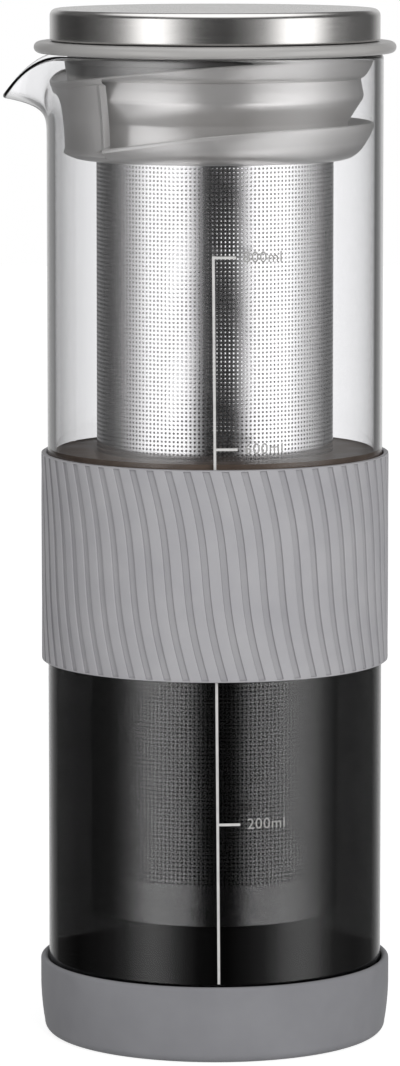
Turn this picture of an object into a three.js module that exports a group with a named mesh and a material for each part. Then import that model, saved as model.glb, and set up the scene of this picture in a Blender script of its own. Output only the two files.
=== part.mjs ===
// Cold brew coffee maker: a glass carafe with a pulled spout, a silicone grip and boot, and a
// steel filter hung in a turning silicone stopper under a steel lid.
// Millimetres, +Z up, standing on z = 0. The spout points to -X and the volume scale faces -Y.

import * as THREE from 'three';

const degree = Math.PI / 180;

// Gaps between pieces that touch, and the running gap of the stopper in the neck
const contactGap = 0.3;
const finGap = 0.3;
const filterSlip = 0.4;

// Driving dimensions of the glass
const glassRadius = 40;
const glassWall = 1.9;
const glassHeight = 231;
const glassFloor = 3.2;
const footRound = 8;
const footHollow = 1.2;
const puntRise = 2;
const rimTurnShares = [0.25, 0.5, 0.75];

// Spout, pulled out of the rim
const spoutReach = 9.8;
const spoutDrop = 9.6;
const spoutDepth = 22.4;
const spoutHalfAngle = 34 * degree;
const spoutReachPower = 2.4;
const spoutDropPower = 4.5;
const spoutFlarePower = 7;

// Boot
const bootFloor = 4;
const bootWall = 1.7;
const bootHeight = 18.4;
const bootEdge = 2.4;
const bootTaperHeight = 9;
const bootTaper = 0.9;

// Grip sleeve
const sleeveBottom = 90.7;
const sleeveHeight = 49.8;
const sleeveWall = 1.2;
const sleeveEdge = 0.5;
const grooveDepth = 0.5;
const grooveCount = 58;
const grooveTwist = 12.5 * degree;
const grooveCurl = 0.55;
const grooveLevels = 5;
const liningLevels = 2;
const crestShares = [0.15, 0.85];

// Stopper collar
const flangeOverhang = 3;
const flangeThickness = 2.7;
const collarDepth = 25.2;
const finRoot = 1.2;
const finEdge = 0.9;
const recessDepth = 1.7;
const collarLedge = 2.6;

// Radii of the stopper, as shares of the way from its core to the edge of its fins
const neckShare = 0.51;
const barrelShare = 0.56;
const ridgeShare = 0.66;
const waistShare = 0.15;
const panelTopShare = 0.92;
const panelFootShare = 0.71;

// Levels of the stopper, as shares of its depth below the flange
const barrelDropShare = 0.234;
const ridgeDropShare = 0.413;
const waistDropShare = 0.647;
const panelFootDropShare = 0.94;
const upperFinDropShare = 0.048;
const upperFinFallShare = 0.232;
const lowerFinDropShare = 0.679;
const lowerFinFallShare = 0.313;
const upperFallPower = 2.32;
const lowerFallPower = 2.3;

// Turn of the pour panel round the axis, each side of the spout
const panelHalfAngle = 42 * degree;
const panelEdgeAngle = 1.4 * degree;

// Collar core
const coreWall = 1.3;

// Filter, hung clear of the glass so that coffee stands all round it
const coffeeGap = 9.9;
const filterWall = 0.5;
const filterFoot = 30.5;
const rimFlange = 4.4;
const rimThickness = 0.9;
const rimSkirt = 12;
const baseRise = 5;
const baseBend = 1.5;

// Lid
const capHeight = 7.4;
const capInset = 3.8;
const capWall = 0.6;
const capEdge = 1.6;
const insertWall = 1.8;
const insertFlange = 1.8;
const insertSkirt = 4.2;
const plugDepth = 9.4;
const plugSlip = 0.7;
const plugChamfer = 1.2;
const sealHeight = 2.8;
const sealDepth = 1.6;
const sealLip = 0.4;
const sealRise = 3.6;

// Facets round the axis
const wideSegments = 48;
const narrowSegments = 32;
const spoutSegments = 20;
const wallSegments = 36;
const panelSegments = 10;
const collarSegments = 38;

// Sizes that follow
const glassBore = glassRadius - glassWall;
const filterRadius = glassBore - coffeeGap;
const footLevel = bootFloor + contactGap;
const rimLevel = footLevel + glassHeight;
const flangeLevel = rimLevel + contactGap;
const flangeTop = flangeLevel + flangeThickness;
const flangeRadius = glassRadius + flangeOverhang;
const finRadius = glassBore - finGap;
const collarBottom = flangeLevel - collarDepth;
const collarBore = filterRadius + contactGap;
const ledgeLevel = collarBottom + collarLedge;
const recessLevel = flangeTop - recessDepth;
const coreBore = filterRadius + filterSlip + contactGap;
const coreRadius = coreBore + coreWall;
const coreSeat = coreRadius + contactGap;
const rimRadius = filterRadius + rimFlange;
const recessRadius = rimRadius + filterSlip;
const filterBore = filterRadius - filterWall;
const rimUnder = recessLevel + contactGap;
const rimTop = rimUnder + rimThickness;
const skirtRadius = filterBore - contactGap;
const skirtBore = skirtRadius - filterWall;
const capUnder = flangeTop + contactGap;
const capTop = capUnder + capHeight;
const capRadius = flangeRadius - capInset;

// Turns a closed profile of [radius, height] pairs round the Z axis
function revolve(profile, segments) {
  const points = profile.map(([radius, height]) => new THREE.Vector2(radius, height));
  return new THREE.LatheGeometry(points, segments).rotateX(Math.PI / 2);
}

// Points of an arc in the profile plane, from one angle to the other
function arc(centreRadius, centreHeight, size, from, to, steps) {
  return Array.from({ length: steps + 1 }, (_, i) => {
    const angle = from + ((to - from) * i) / steps;
    return [centreRadius + size * Math.cos(angle), centreHeight + size * Math.sin(angle)];
  });
}

// Even steps from one value to another, both ends included
function steps(from, to, count) {
  return Array.from({ length: count + 1 }, (_, i) => from + ((to - from) * i) / count);
}

// A point at an angle counted from the spout, through the front
function place(radius, angle, height) {
  return new THREE.Vector3(-radius * Math.cos(angle), -radius * Math.sin(angle), height);
}

// Joins profiles that stand round the axis into one surface. A looped profile closes on itself,
// and any other starts and ends on the axis.
function skin(columns, looped) {
  const rows = columns[0].length;
  const index = [];
  columns.forEach((_, i) => {
    const here = i * rows;
    const next = ((i + 1) % columns.length) * rows;
    for (let j = 0; j < (looped ? rows : rows - 1); j++) {
      const up = (j + 1) % rows;
      if (looped || j > 0) index.push(here + j, next + j, next + up);
      if (looped || up < rows - 1) index.push(here + j, next + up, here + up);
    }
  });
  const positions = columns.flat().flatMap((point) => point.toArray());
  const geometry = new THREE.BufferGeometry();
  geometry.setAttribute('position', new THREE.Float32BufferAttribute(positions, 3));
  geometry.setIndex(index);
  geometry.computeVertexNormals();
  return geometry;
}

// One inside a bell's half width and zero outside, highest at the spout
function bell(angle, halfWidth, power) {
  const turn = Math.atan2(Math.sin(angle), Math.cos(angle));
  if (Math.abs(turn) >= halfWidth) return 0;
  return Math.cos((turn / halfWidth) * (Math.PI / 2)) ** power;
}

// Outer face of the glass from the spout's root (share 0) to the rim (share 1)
function spoutWall(angle, share) {
  const edge = rimLevel - glassWall / 2 - spoutDrop * bell(angle, spoutHalfAngle, spoutDropPower);
  const root = rimLevel - glassWall / 2 - spoutDepth;
  const reach = spoutReach * bell(angle, spoutHalfAngle, spoutReachPower);
  return place(glassRadius + reach * share ** spoutFlarePower, angle, root + (edge - root) * share);
}

// Outward normal and upward tangent of that face
function spoutFrame(angle, share) {
  const small = 0.001;
  const across = spoutWall(angle + small, share).sub(spoutWall(angle - small, share));
  const along = spoutWall(angle, share + small).sub(spoutWall(angle, share - small)).normalize();
  return { normal: across.cross(along).normalize(), along };
}

// Glass carafe
function carafe() {
  const corner = glassRadius - footRound;
  const cornerLevel = footLevel + footRound;
  const innerRound = footRound - glassWall;
  const innerFloor = footLevel + glassFloor;
  const footRing = corner - footRound / 2;
  const outerFoot = [
    [0, footLevel + footHollow],
    [footRing, footLevel + footHollow],
    [corner - footRound / 4, footLevel],
    ...arc(corner, cornerLevel, footRound, -Math.PI / 2, 0, 4),
  ];
  const innerFoot = [
    ...arc(corner, innerFloor + innerRound, innerRound, 0, -Math.PI / 2, 3),
    [corner / 2, innerFloor + puntRise / 2],
    [0, innerFloor + puntRise],
  ];
  const shares = [0, 0.4, 0.6, 0.74, 0.84, 0.92, 1];
  const angles = [
    ...steps(-spoutHalfAngle, spoutHalfAngle, spoutSegments),
    ...steps(spoutHalfAngle, 2 * Math.PI - spoutHalfAngle, wallSegments).slice(1, -1),
  ];
  const columns = angles.map((angle) => {
    const outer = shares.map((share) => spoutWall(angle, share));
    const inner = shares.map((share, i) => {
      return outer[i].clone().addScaledVector(spoutFrame(angle, share).normal, -glassWall);
    });
    const { normal, along } = spoutFrame(angle, 1);
    const middle = outer.at(-1).clone().add(inner.at(-1)).divideScalar(2);
    const edge = rimTurnShares.map((share) => {
      return middle.clone()
        .addScaledVector(normal, (glassWall / 2) * Math.cos(share * Math.PI))
        .addScaledVector(along, (glassWall / 2) * Math.sin(share * Math.PI));
    });
    return [
      ...outerFoot.map(([radius, height]) => place(radius, angle, height)),
      ...outer,
      ...edge,
      ...inner.reverse(),
      ...innerFoot.map(([radius, height]) => place(radius, angle, height)),
    ];
  });
  return skin(columns, false);
}

// Silicone boot under the carafe
function boot() {
  const inner = glassRadius + contactGap;
  const outer = inner + bootWall;
  const corner = glassRadius - footRound;
  const innerRound = footRound + contactGap;
  const lip = bootWall / 2;
  return revolve([
    [0, 0],
    [outer - bootTaper - bootEdge, 0],
    ...arc(outer - bootTaper - bootEdge, bootEdge, bootEdge, -Math.PI / 2, 0, 3).slice(1),
    [outer, bootTaperHeight],
    ...arc(inner + lip, bootHeight - lip, lip, 0, Math.PI, 4),
    ...arc(corner, bootFloor + innerRound, innerRound, 0, -Math.PI / 2, 5),
    [0, bootFloor],
  ], wideSegments);
}

// Silicone sleeve with grooves that slant down to the right, most near its two rims
function sleeve() {
  const inner = glassRadius + contactGap;
  const crest = inner + sleeveWall;
  const groove = crest - grooveDepth;
  const columns = [];
  const cuts = [crestShares[0], crestShares[1], 1];
  for (let rib = 0; rib < grooveCount; rib++) {
    cuts.forEach((share, cut) => {
      const outer = cut === 2 ? groove : crest;
      const base = ((rib + share) / grooveCount) * 2 * Math.PI;
      const turned = (height) => {
        const level = height / sleeveHeight;
        const curl = (grooveCurl * Math.sin(2 * Math.PI * level)) / (2 * Math.PI);
        return base - grooveTwist * (level + curl);
      };
      const spot = (radius, height) => place(radius, turned(height), sleeveBottom + height);
      columns.push([
        spot(crest, 0),
        ...steps(sleeveEdge, sleeveHeight - sleeveEdge, grooveLevels).map((height) => spot(outer, height)),
        spot(crest, sleeveHeight),
        ...steps(sleeveHeight, 0, liningLevels).map((height) => spot(inner, height)),
      ]);
    });
  }
  return skin(columns, true);
}

// Profile of the silicone stopper at one angle from the spout, and whether the pour panel is there
function collarProfile(angle, onPanel) {
  const radiusAt = (share) => coreSeat + (finRadius - coreSeat) * share;
  const levelAt = (share) => flangeLevel - collarDepth * share;
  const towardSpout = (1 + Math.cos(angle)) / 2;
  const lowerRim = levelAt(lowerFinDropShare + lowerFinFallShare * towardSpout ** lowerFallPower);
  const upperRim = levelAt(upperFinDropShare + upperFinFallShare * towardSpout ** upperFallPower);
  const panelFoot = levelAt(panelFootDropShare);
  const panelTop = upperRim - finRoot;
  const panelRadius = (height) => {
    const share = (height - panelFoot) / (panelTop - panelFoot);
    return radiusAt(panelFootShare + (panelTopShare - panelFootShare) * share ** 2);
  };
  const finBase = Math.min(levelAt(barrelDropShare), panelTop);
  const lowTip = onPanel ? panelFoot : lowerRim;
  const lowRadius = onPanel ? panelRadius(panelFoot) : finRadius;
  const bottomShares = [0.45, 0.75, 0.92, 1];
  const bottom = bottomShares.map((share) => [
    collarBore + (lowRadius - collarBore) * share,
    collarBottom + (lowTip - collarBottom) * share ** 3,
  ]);
  const hollowShares = [0.25, 0.35];
  const waistRadius = radiusAt(waistShare);
  const body = onPanel
    ? [0.06, 0.25, 0.45, 0.65, 0.85].map((share) => {
      const height = panelFoot + (panelTop - panelFoot) * share;
      return [panelRadius(height), height];
    })
    : [
      [finRadius - finEdge / 2, lowerRim + finEdge],
      [(waistRadius + finRadius) / 2, lowerRim - (lowerRim - collarBottom) * hollowShares[0]],
      [waistRadius + finEdge / 2, lowerRim - (lowerRim - collarBottom) * hollowShares[1]],
      [waistRadius, levelAt(waistDropShare)],
      [radiusAt(ridgeShare), levelAt(ridgeDropShare)],
    ];
  const baseRadius = onPanel ? panelRadius(panelTop) : radiusAt(barrelShare);
  const undersideShares = [0, 0.4, 0.7, 1];
  const underside = undersideShares.map((share) => [
    baseRadius + (finRadius - baseRadius) * share,
    finBase + (upperRim - finBase) * share ** 1.8,
  ]);
  const neckRadius = radiusAt(neckShare);
  const trough = finBase + finRoot + (upperRim - finBase - finRoot) / 5;
  const half = flangeThickness / 2;
  return [
    [collarBore, collarBottom],
    ...bottom,
    ...body,
    ...underside,
    [finRadius - finEdge / 2, upperRim + finEdge / 2],
    [(neckRadius + finRadius) / 2, (trough + upperRim) / 2],
    [neckRadius + finEdge, trough],
    [neckRadius, trough + finEdge],
    [neckRadius, flangeLevel - finEdge / 3],
    [neckRadius + finEdge, flangeLevel],
    ...arc(flangeRadius - half, flangeLevel + half, half, -Math.PI / 2, Math.PI / 2, 4),
    [recessRadius, flangeTop],
    [recessRadius, recessLevel],
    [coreSeat, recessLevel],
    [coreSeat, ledgeLevel],
    [collarBore, ledgeLevel],
  ];
}

// Silicone stopper: flange, two slanting fins and the pour panel between its upright edges
function stopper() {
  const panelEnd = panelHalfAngle - panelEdgeAngle;
  const panel = steps(-panelEnd, panelEnd, panelSegments);
  const rest = steps(panelHalfAngle, 2 * Math.PI - panelHalfAngle, collarSegments);
  const column = (angle, onPanel) => {
    return collarProfile(angle, onPanel).map(([radius, height]) => place(radius, angle, height));
  };
  return skin([
    ...panel.map((angle) => column(angle, true)),
    ...rest.map((angle) => column(angle, false)),
  ], true);
}

// Rigid ring inside the stopper, which carries the flange of the filter
function core() {
  const bottom = ledgeLevel + contactGap;
  return revolve([
    [coreBore, bottom],
    [coreRadius, bottom],
    [coreRadius, recessLevel],
    [coreBore, recessLevel],
    [coreBore, bottom],
  ], narrowSegments);
}

// Pressed rim of the filter: a flange with a skirt down inside the tube
function rim() {
  const bend = rimThickness;
  return revolve([
    [skirtBore, rimTop - rimSkirt],
    [skirtRadius, rimTop - rimSkirt],
    [skirtRadius, rimUnder],
    [rimRadius - bend / 2, rimUnder],
    [rimRadius, rimUnder + bend / 2],
    [rimRadius - bend / 2, rimTop],
    [skirtBore + bend, rimTop],
    [skirtBore, rimTop - bend],
    [skirtBore, rimTop - rimSkirt],
  ], narrowSegments);
}

// Filter tube
function tube() {
  const top = rimUnder - contactGap;
  return revolve([
    [filterBore, filterFoot],
    [filterRadius, filterFoot],
    [filterRadius, top],
    [filterBore, top],
    [filterBore, filterFoot],
  ], narrowSegments);
}

// Dish that closes the foot of the filter
function base() {
  const outer = filterBore - contactGap;
  const inner = outer - filterWall;
  const innerBend = baseBend - filterWall;
  return revolve([
    [0, filterFoot],
    ...arc(outer - baseBend, filterFoot + baseBend, baseBend, -Math.PI / 2, 0, 2),
    [outer, filterFoot + baseRise],
    [inner, filterFoot + baseRise],
    ...arc(inner - innerBend, filterFoot + baseBend, innerBend, 0, -Math.PI / 2, 2),
    [0, filterFoot + filterWall],
  ], narrowSegments);
}

// Steel cap of the lid
function cap() {
  const inner = capRadius - capWall;
  const innerEdge = capEdge - capWall;
  return revolve([
    [0, capTop - capWall],
    ...arc(inner - innerEdge, capTop - capEdge, innerEdge, Math.PI / 2, 0, 2),
    [inner, capUnder],
    [capRadius, capUnder],
    ...arc(capRadius - capEdge, capTop - capEdge, capEdge, 0, Math.PI / 2, 3),
    [0, capTop],
  ], wideSegments);
}

// Plastic insert of the lid: a rim under the cap and a plug in the mouth of the filter
function insert() {
  const plug = skirtBore - plugSlip;
  const plugBottom = rimTop - plugDepth;
  const sealBottom = plugBottom + sealRise;
  const sealTop = sealBottom + sealHeight;
  const outer = capRadius - capWall - contactGap;
  const under = capUnder + contactGap;
  const top = capTop - capWall - contactGap;
  const rimHeight = Math.min(under + insertSkirt, top);
  return revolve([
    [0, plugBottom],
    [plug - plugChamfer, plugBottom],
    [plug, plugBottom + plugChamfer],
    [plug, sealBottom],
    [plug - sealDepth, sealBottom],
    [plug - sealDepth, sealTop],
    [plug, sealTop],
    [plug, under],
    [outer, under],
    [outer, rimHeight],
    [outer - insertWall, rimHeight],
    [outer - insertWall, under + insertFlange],
    [plug - sealDepth - insertWall, under + insertFlange],
    [plug - sealDepth - insertWall, plugBottom + insertWall],
    [0, plugBottom + insertWall],
  ], narrowSegments);
}

// Silicone ring in the groove of the plug
function seal() {
  const plug = skirtBore - plugSlip;
  const bottom = rimTop - plugDepth + sealRise + contactGap;
  const top = bottom + sealHeight - 2 * contactGap;
  const inner = plug - sealDepth + contactGap;
  const middle = (bottom + top) / 2;
  return revolve([
    [inner, bottom],
    [plug, bottom],
    [plug + sealLip, middle],
    [plug, top],
    [inner, top],
    [inner, bottom],
  ], narrowSegments);
}

const silicone = { color: 0xa9a8a6, roughness: 0.75, metalness: 0 };
const steel = { color: 0xb4b4b2, roughness: 0.3, metalness: 1 };
const plastic = { color: 0x8f8f8c, roughness: 0.5, metalness: 0 };
const clear = { color: 0xeef2f2, roughness: 0.05, metalness: 0, transparent: true, opacity: 0.3 };

function piece(name, geometry, look) {
  const mesh = new THREE.Mesh(geometry, new THREE.MeshStandardMaterial(look));
  mesh.name = name;
  return mesh;
}

function group(...pieces) {
  return new THREE.Group().add(...pieces);
}

const coldBrewMaker = group(
  group(
    piece('glass_carafe', carafe(), clear),
    piece('grip_sleeve', sleeve(), silicone),
    piece('base_boot', boot(), silicone),
  ),
  group(
    piece('stopper_collar', stopper(), silicone),
    piece('collar_core', core(), plastic),
  ),
  group(
    piece('filter_rim', rim(), steel),
    piece('filter_tube', tube(), steel),
    piece('filter_base', base(), steel),
  ),
  group(
    piece('lid_cap', cap(), steel),
    piece('lid_insert', insert(), plastic),
    piece('lid_seal', seal(), silicone),
  ),
);

export default coldBrewMaker;
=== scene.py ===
# Cold brew coffee maker: a glass carafe of coffee with a pulled spout, a silicone grip and boot, and
# a perforated steel filter hung in a turning silicone stopper under a steel lid.
# Sizes are in millimetres and become metres as each mesh is made. Angles round the axis are
# counted from the spout at -X, through the front at -Y.
import math

import bpy
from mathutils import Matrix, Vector


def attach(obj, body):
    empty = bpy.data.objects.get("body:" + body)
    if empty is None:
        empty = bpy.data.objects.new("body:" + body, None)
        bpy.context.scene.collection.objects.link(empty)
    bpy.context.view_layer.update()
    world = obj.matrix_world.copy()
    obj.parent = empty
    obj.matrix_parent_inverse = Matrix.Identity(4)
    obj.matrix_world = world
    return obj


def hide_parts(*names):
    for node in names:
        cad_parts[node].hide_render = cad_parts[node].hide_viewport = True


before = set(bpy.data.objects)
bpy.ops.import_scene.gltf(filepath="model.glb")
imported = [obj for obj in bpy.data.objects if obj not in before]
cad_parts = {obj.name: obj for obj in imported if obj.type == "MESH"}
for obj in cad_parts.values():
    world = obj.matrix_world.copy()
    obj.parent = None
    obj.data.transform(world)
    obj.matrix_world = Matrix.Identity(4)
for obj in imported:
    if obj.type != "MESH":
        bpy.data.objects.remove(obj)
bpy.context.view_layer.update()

MM = 0.001
DEGREE = math.pi / 180

# Gap between pieces that touch, the reach within which two corners are one, and how near to a radius
# or a level a face counts as on it
GAP = 0.3
WELD = 0.00001
NEAR = 0.1

# Radius of the ring that closes up to a pole, facets round the axis, and the sharpest smooth edge
POLE = 0.004
FACETS = 192
SMOOTH_ANGLE = 32 * DEGREE

# Glass
GLASS_RADIUS = 40
GLASS_WALL = 1.9
GLASS_BORE = GLASS_RADIUS - GLASS_WALL
FOOT_LEVEL = 4.3
RIM_LEVEL = 235.3
GLASS_FLOOR = 3.2
FLOOR_LEVEL = FOOT_LEVEL + GLASS_FLOOR
FOOT_ROUND = 8
FOOT_HOLLOW = 1.2
PUNT_RISE = 2

# Spout, pulled out of the rim, and the share of the wall that it loses at its tip
SPOUT_REACH = 9.8
SPOUT_DROP = 9.6
SPOUT_DEPTH = 22.4
SPOUT_HALF_ANGLE = 34 * DEGREE
SPOUT_REACH_POWER = 2.4
SPOUT_DROP_POWER = 4.5
SPOUT_FLARE_POWER = 7
SPOUT_THINNING = 0.3
SPOUT_THIN_POWER = 9

# Coffee. It sinks into the wall, and its last edge before the wall is a piece of its own. Over the
# foot's bend and up to the coffee's level, the glass is wetted.
COFFEE_LEVEL = 141.2
COFFEE_SINK = 0.12
COFFEE_EDGE = 1.5
COFFEE_JOIN = 0.02
FILM_FROM = 140
MENISCUS = 0.4
MENISCUS_REACH = 0.3
WETTED_FROM = 6.8

# Boot and sleeve
SHELL_BORE = GLASS_RADIUS + GAP
BOOT_RADIUS = 42
BOOT_HEIGHT = 18.4
BOOT_FLOOR = 4
BOOT_TAPER = 0.9
TAPER_BEND = 7
TAPER_END = 12
BOOT_EDGE = 2.4
BOOT_LIP = 0.85
SLEEVE_BOTTOM = 90.7
SLEEVE_HEIGHT = 49.8
SLEEVE_RADIUS = 41.5
SLEEVE_EDGE = 0.2
SLEEVE_LIP = 0.3
GROOVE_DEPTH = 0.5
GROOVE_COUNT = 58
GROOVE_TWIST = 12.5 * DEGREE
GROOVE_CURL = 0.55

# Volume scale: each mark's height, and the figures, which start to the right of the ticks
SCALE_MARKS = {189.8: "800ml", 145.2: "600ml", 101: "400ml", 56.9: "200ml"}
SCALE_TOP = 190.15
SCALE_BOTTOM = 18.9
SCALE_LEAN = 1.25 * DEGREE
SCALE_TURN = 1.95 * DEGREE
LINE_WIDTH = 0.62
TICK_LENGTH = 5.3
FIGURE_START = 6.9
FIGURE_HEIGHT = 3.6
FIGURES_FROM = 6.2
PRINT_LIFT = 0.04
PRINT_DEPTH = 0.03
FRONT = 90 * DEGREE

# Stopper
COLLAR_BOTTOM = 210.4
COLLAR_BORE = 28.5
FLANGE_LEVEL = 235.6
FLANGE_THICKNESS = 2.7
FLANGE_TOP = FLANGE_LEVEL + FLANGE_THICKNESS
FLANGE_RADIUS = 43
FIN_RADIUS = 37.8
FIN_EDGE = 0.9
FIN_ROOT = 1.2
CORE_SEAT = 30.5
LEDGE_LEVEL = 213
RECESS_LEVEL = 236.6
RECESS_RADIUS = 33
RECESS_EDGE = 0.2
PANEL_HALF_ANGLE = 46.5 * DEGREE
PANEL_EDGE_ANGLE = 1.4 * DEGREE
PANEL_EDGE_STEP = 0.6 * DEGREE

# Rim round the panel, how far from the panel's side and foot it fades out, and how deep the side
# itself stands, as a share of the rim
PANEL_RIM = 0.3
SIDE_FADE = 0.6 * DEGREE, 1.6 * DEGREE
FOOT_FADE = 0.5, 1.3
PANEL_SIDE = -2.4

# Beside the panel the barrel runs on under its edge: by how much, and from which row
TUCK = 12 * DEGREE
TUCK_ROW = 25

# Row at which the upper fin starts
FIN_ROW = 44

# Levels of the stopper, as shares of its depth below the flange
LOWER_FIN_DROP, LOWER_FIN_FALL, LOWER_FALL_POWER = 0.679, 0.313, 2.3
UPPER_FIN_DROP, UPPER_FIN_FALL, UPPER_FALL_POWER = 0.048, 0.232, 2.32
BARREL_DROP, RIDGE_DROP, WAIST_DROP, PANEL_FOOT_DROP = 0.234, 0.413, 0.647, 0.94

# Radii of the stopper, as shares of the way from its core to the edge of its fins
NECK, BARREL, RIDGE, WAIST, PANEL_TOP, PANEL_FOOT = 0.51, 0.56, 0.66, 0.15, 0.92, 0.71

# Core of the stopper
CORE_BORE = 28.9
CORE_RADIUS = 30.2
CORE_EDGE = 0.3
CORE_TOP_EDGE = 0.2

# Filter
FILTER_RADIUS = 28.2
SHEET = 0.5
FILTER_FOOT = 30.5
RIM_UNDER = 236.9
RIM_TOP = 237.8
RIM_FLANGE = 4.4
RIM_SKIRT = 12
RIM_ROUND = 0.45
RIM_BEND = 0.9
DISH_BEND = 1.5
DISH_RISE = 5
HOLES_ROUND = 176
HOLE_PITCH = 1
HOLE_HEIGHT = 0.5
HOLES_START = 39.9
HOLE_BANDS = 4
BAND_ROWS = 44

# Lid
CAP_UNDER = 238.6
CAP_TOP = 246
CAP_RADIUS = 39.2
CAP_WALL = 0.6
CAP_EDGE = 1.6
PLUG_SLIP = 0.7
PLUG_DEPTH = 9.4
PLUG_CHAMFER = 1.2
INSERT_WALL = 1.8
INSERT_SKIRT = 4.2
SEAL_RISE = 3.6
SEAL_HEIGHT = 2.8
SEAL_DEPTH = 1.6
SEAL_ROUND = 1.1

# Strength of the plain light that falls on every surface, and of the strips that they mirror
WORLD_LEVEL = 0.5
STRIP_LEVEL = 2

# Height that the lamps aim at, in metres
LAMP_AIM = 0.12

# Camera, in metres and degrees
CAMERA_PLACE = (-0.00357, -1.318, 0.2865)
CAMERA_FALL = 7.169
CAMERA_FIELD = 10.989
SENSOR_HEIGHT = 24


# Meshes

def add(name, create, **settings):
    """Adds one object, by itself, and names it and its data."""
    bpy.ops.object.select_all(action="DESELECT")
    create(**settings)
    piece = bpy.context.object
    piece.name = name
    piece.data.name = name
    return piece


def edit(action):
    """Runs the steps in edit mode with everything selected."""
    bpy.ops.object.mode_set(mode="EDIT")
    bpy.ops.mesh.select_all(action="SELECT")
    action()
    bpy.ops.object.mode_set(mode="OBJECT")


def close_up(piece, reach):
    """Merges what coincides, turns the faces outwards and shades them smooth."""
    def weld():
        bpy.ops.mesh.remove_doubles(threshold=reach)
        bpy.ops.mesh.normals_make_consistent(inside=False)
    edit(weld)
    bpy.ops.object.shade_smooth_by_angle(angle=SMOOTH_ANGLE)
    return piece


def turned(name, profile):
    """A piece turned on the axis: a ring of edges, extruded along a profile of radius and height.
    The profile closes on itself, or starts and ends at the pole."""
    points = [(max(radius, POLE), height) for radius, height in profile]
    radius, height = points[0]
    piece = add(name, bpy.ops.mesh.primitive_circle_add, vertices=FACETS, radius=radius * MM,
                location=(0, 0, height * MM))
    bpy.ops.object.transform_apply()

    def extrude():
        for (radius, height), (next_radius, next_height) in zip(points, points[1:]):
            rise = (0, 0, (next_height - height) * MM)
            bpy.ops.mesh.extrude_edges_move(TRANSFORM_OT_translate={"value": rise})
            spread = next_radius / radius
            bpy.ops.transform.resize(value=(spread, spread, 1))
    edit(extrude)
    return close_up(piece, 3 * POLE * MM)


def lofted(name, columns):
    """A piece skinned over columns of points: a ring extruded up, whose corners then take their
    places."""
    count = len(columns)
    piece = add(name, bpy.ops.mesh.primitive_circle_add, vertices=count, radius=1)

    def extrude():
        for _ in columns[0][1:]:
            bpy.ops.mesh.extrude_edges_move(TRANSFORM_OT_translate={"value": (0, 0, 1)})
    edit(extrude)
    first = math.atan2(piece.data.vertices[0].co.y, piece.data.vertices[0].co.x)
    for vertex in piece.data.vertices:
        turn = (math.atan2(vertex.co.y, vertex.co.x) - first) / math.tau * count
        vertex.co = columns[round(turn) % count][round(vertex.co.z)] * MM
    return close_up(piece, WELD * MM)


def modify(piece, kind, **settings):
    """Gives the active object a modifier and applies it."""
    modifier = piece.modifiers.new(kind, kind)
    for name, value in settings.items():
        setattr(modifier, name, value)
    bpy.ops.object.modifier_apply(modifier=kind)
    return piece


def place(radius, angle, height):
    """A point at an angle counted from the spout, through the front."""
    return Vector((-radius * math.cos(angle), -radius * math.sin(angle), height))


def arc(centre_radius, centre_height, size, start_angle, end_angle, steps):
    """Points of an arc in the profile plane, in degrees from straight out."""
    turns = [(start_angle + (end_angle - start_angle) * i / steps) * DEGREE for i in range(steps + 1)]
    return [(centre_radius + size * math.cos(t), centre_height + size * math.sin(t)) for t in turns]


def even(first, last, steps):
    """Even steps from one value to another, both included."""
    return [first + (last - first) * i / steps for i in range(steps + 1)]


def bend(a, control, b, steps):
    """Points of a curve from a to b, drawn towards its control point, without its start."""
    return [tuple((1 - t) ** 2 * p + 2 * t * (1 - t) * q + t * t * r for p, q, r in zip(a, control, b))
            for t in even(0, 1, steps)[1:]]


def smooth(low, high, value):
    """Nought below low and one above high, with an even rise between."""
    t = min(max((value - low) / (high - low), 0), 1)
    return t * t * (3 - 2 * t)


# Materials

def linear(hex_colour):
    """The linear colour, with alpha, of an sRGB hex value such as #A4A3A2."""
    shares = [int(hex_colour[i:i + 2], 16) / 255 for i in (1, 3, 5)]
    return [s / 12.92 if s <= 0.04045 else ((s + 0.055) / 1.055) ** 2.4 for s in shares] + [1]


# How every noise is built up, and the part of its range that its colours are spread over
NOISE = {"Detail": 3, "Roughness": 0.55}
SPREAD = {"From Min": 0.3, "From Max": 0.7}

# Settings of a mix of colours, of a range that eases in and out, and of products
COLOURED = {"data_type": "RGBA"}
EASED = {"interpolation_type": "SMOOTHSTEP"}
TIMES = {"operation": "MULTIPLY"}
SCALED = {"operation": "SCALE"}


def feed(socket, value):
    """Sets an input, or links it to an output or to a node's first output."""
    if isinstance(value, bpy.types.Node):
        value = value.outputs[0]
    if isinstance(value, bpy.types.NodeSocket):
        socket.id_data.links.new(value, socket)
    else:
        socket.default_value = value


def node(tree, kind, settings=None, inputs=None, stops=()):
    """Adds a shader node, sets its properties, and sets or links its inputs. The stops of a colour
    ramp are positions with a level of grey."""
    made = tree.nodes.new("ShaderNode" + kind)
    for name, value in (settings or {}).items():
        setattr(made, name, value)
    for name, value in (inputs or {}).items():
        feed(made.inputs[name], value)
    for _ in stops[2:]:
        made.color_ramp.elements.new(0.5)
    for index, (position, level) in enumerate(stops):
        made.color_ramp.elements[index].position = position
        made.color_ramp.elements[index].color = (level, level, level, 1)
    return made


def material(name):
    """An empty material, its nodes, and the input that its surface goes to."""
    made = bpy.data.materials.new(name)
    made.use_nodes = True
    made.node_tree.nodes.clear()
    return made, made.node_tree, node(made.node_tree, "OutputMaterial").inputs["Surface"]


def tint(tree, pattern, dark, light):
    """A colour that runs from dark to light as a pattern rises."""
    share = node(tree, "MapRange", inputs={"Value": pattern, **SPREAD})
    return node(tree, "Mix", COLOURED, {
        0: share, 6: linear(dark), 7: linear(light)}).outputs[2]


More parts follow.
